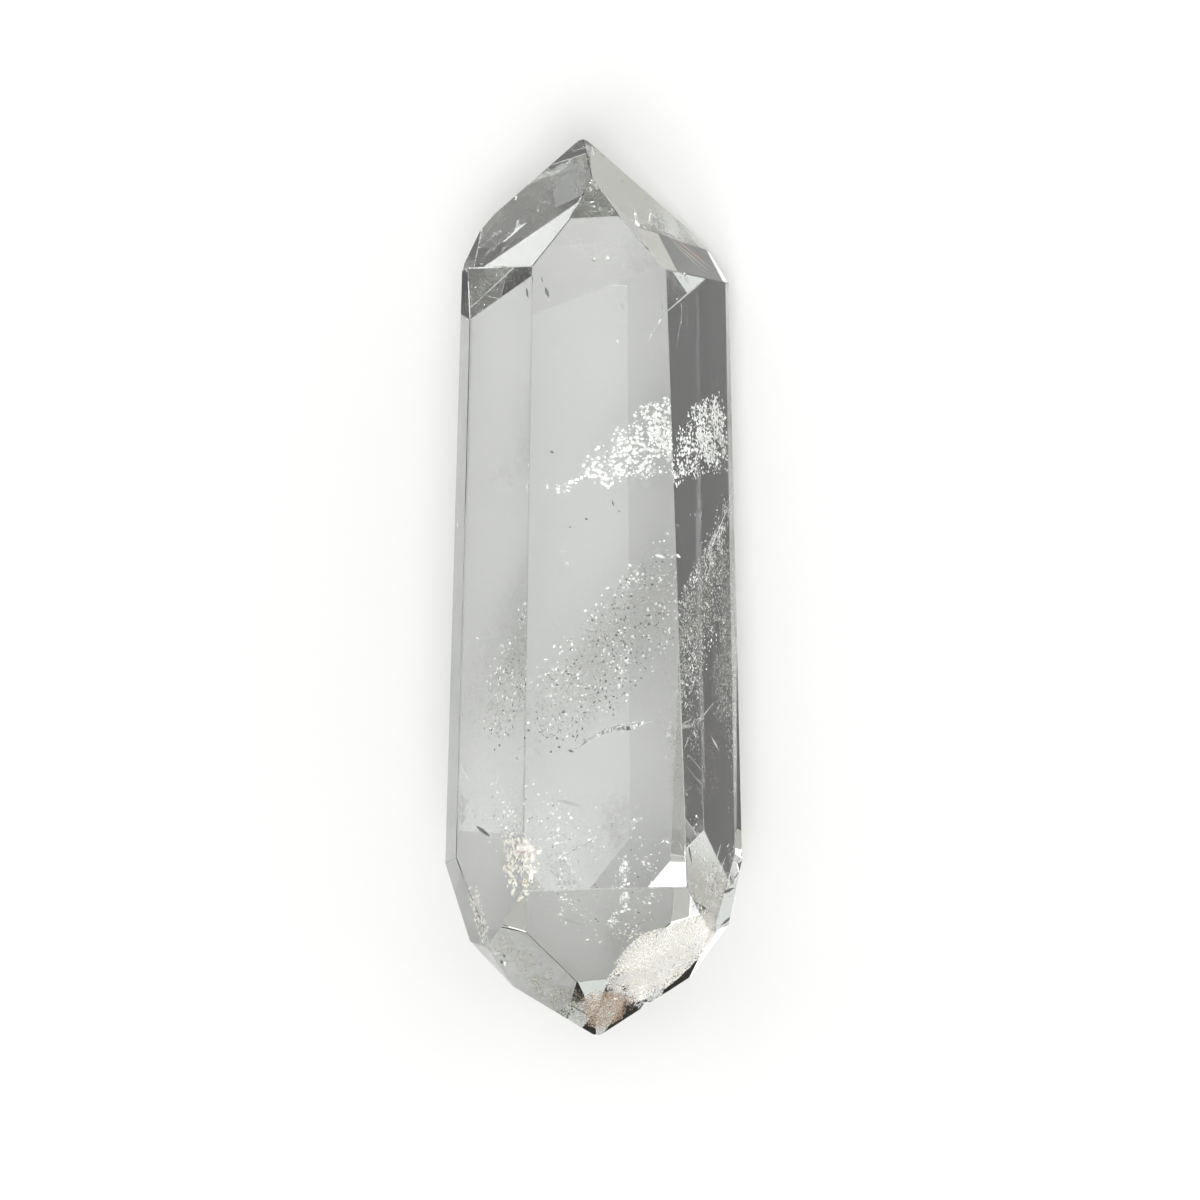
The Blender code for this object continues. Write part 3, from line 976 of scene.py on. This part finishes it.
SPINDLES = (
    Spindles("bright_glints", Finish.GAS_FILM, (
        ((592, 258, 1.5), (596, 261, 1.6), 0.42), ((607, 256, 1.5), (609, 261, 1.7), 0.28),
        ((650, 209, 0.8), (656, 219, 0.8), 0.26), ((537, 209, 1.0), (539, 212, 1.0), 0.16),
        ((643, 226, 1.0), (646, 229, 1.1), 0.16), ((617, 340, 2.0), (618, 343, 2.0), 0.16),
        ((562, 550, 3.0), (564, 553, 3.0), 0.22), ((566, 562, 3.0), (569, 565, 3.0), 0.24),
        ((628, 564, 3.0), (632, 567, 3.0), 0.26), ((655, 555, 3.0), (665, 558, 3.2), 0.3),
        ((559, 913, 2.0), (563, 916, 2.0), 0.26), ((457, 523, 0.5), (458, 527, 0.5), 0.12),
        ((476, 637, 1.5), (479, 639, 1.5), 0.2), ((461, 763, 1.2), (469, 781, 1.6), 0.22),
        ((516, 757, 1.5), (519, 760, 1.5), 0.2), ((496, 951, 1.0), (501, 956, 1.0), 0.4))),
    # Dark mineral grains, and dark grey painted shade where small cracks turn the light away from the eye.
    Spindles("dark_specks_and_painted_shade", Finish.DARK_MINERAL_AND_SHADE, (
        ((476, 826, 2.0), (491, 837, 2.4), 0.34), ((550, 451, 3.0), (554, 453, 3.0), 0.2),
        ((585, 518, 3.0), (588, 520, 3.0), 0.2), ((569, 526, 3.0), (571, 528, 3.0), 0.14),
        ((612, 500, 3.0), (614, 507, 3.0), 0.14), ((618, 510, 3.0), (620, 512, 3.0), 0.1),
        ((545, 287, 4.0), (549, 298, 4.0), 0.3), ((541, 276, 4.0), (543, 283, 4.0), 0.12),
        ((568, 750, 3.0), (574, 752, 3.0), 0.22), ((503, 954, 1.0), (505, 957, 1.0), 0.22))),
    Spindles("fine_needles", Finish.GAS_FILM, (
        ((692, 826, 2.0), (706, 851, 2.6), 0.1), ((721, 844, 2.0), (714, 867, 2.6), 0.12),
        ((697, 853, 2.0), (711, 870, 2.4), 0.1), ((690, 838, 2.0), (704, 866, 2.4), 0.07),
        ((726, 856, 2.0), (716, 880, 2.4), 0.08), ((718, 862, 2.0), (709, 892, 2.6), 0.1),
        ((703, 858, 2.0), (708, 890, 2.6), 0.08), ((730, 502, 1.8), (704, 566, 2.6), 0.09),
        ((702, 510, 2.4), (700, 521, 2.4), 0.08), ((696, 725, 2.4), (714, 702, 2.4), 0.12),
        ((691, 410, 2.0), (717, 408, 2.0), 0.06)), sides=4),
    # Painted split light along one thin crack: three coloured bands.
    Spindles("split_light_green", Finish.PAINTED_SPLIT_GREEN, (((668, 238, 0.8), (706, 273, 0.8), 0.16),)),
    Spindles("split_light_yellow", Finish.PAINTED_SPLIT_YELLOW, (((669, 237, 0.8), (709, 271, 0.8), 0.16),)),
    Spindles("split_light_red", Finish.PAINTED_SPLIT_RED, (((676, 239, 0.8), (712, 269, 0.8), 0.2),)),
)


class Inclusions:
    """Everything inside the stone."""

    def __init__(self) -> None:
        """Make the tree that the veils and the edge wear share."""
        self.scatter = FlakeScatter()

    def build(self) -> list[bpy.types.Object]:
        """Build every inclusion and tie it to the stone."""
        pieces = [veil.build(self.scatter) for veil in VEILS]
        pieces += [thing.build() for thing in (*CRACKS, *SPINDLES)]
        pieces.append(EdgeWear().build(self.scatter))
        for piece in pieces:
            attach(piece, BODY)
            LOG.info("%s: %d faces", piece.name, len(piece.data.polygons))
        return pieces


def main() -> None:
    """Build the studio and the stone."""
    logging.basicConfig(level=logging.INFO, format="%(name)s: %(message)s")
    VIEW.camera()
    studio = Studio()
    studio.floor()
    studio.light()
    studio.set_view()
    STONE.material_slots[0].material = RockCrystal().material()
    pieces = Inclusions().build()
    LOG.info("%d pieces inside the stone", len(pieces))


if __name__ == "__main__":
    main()
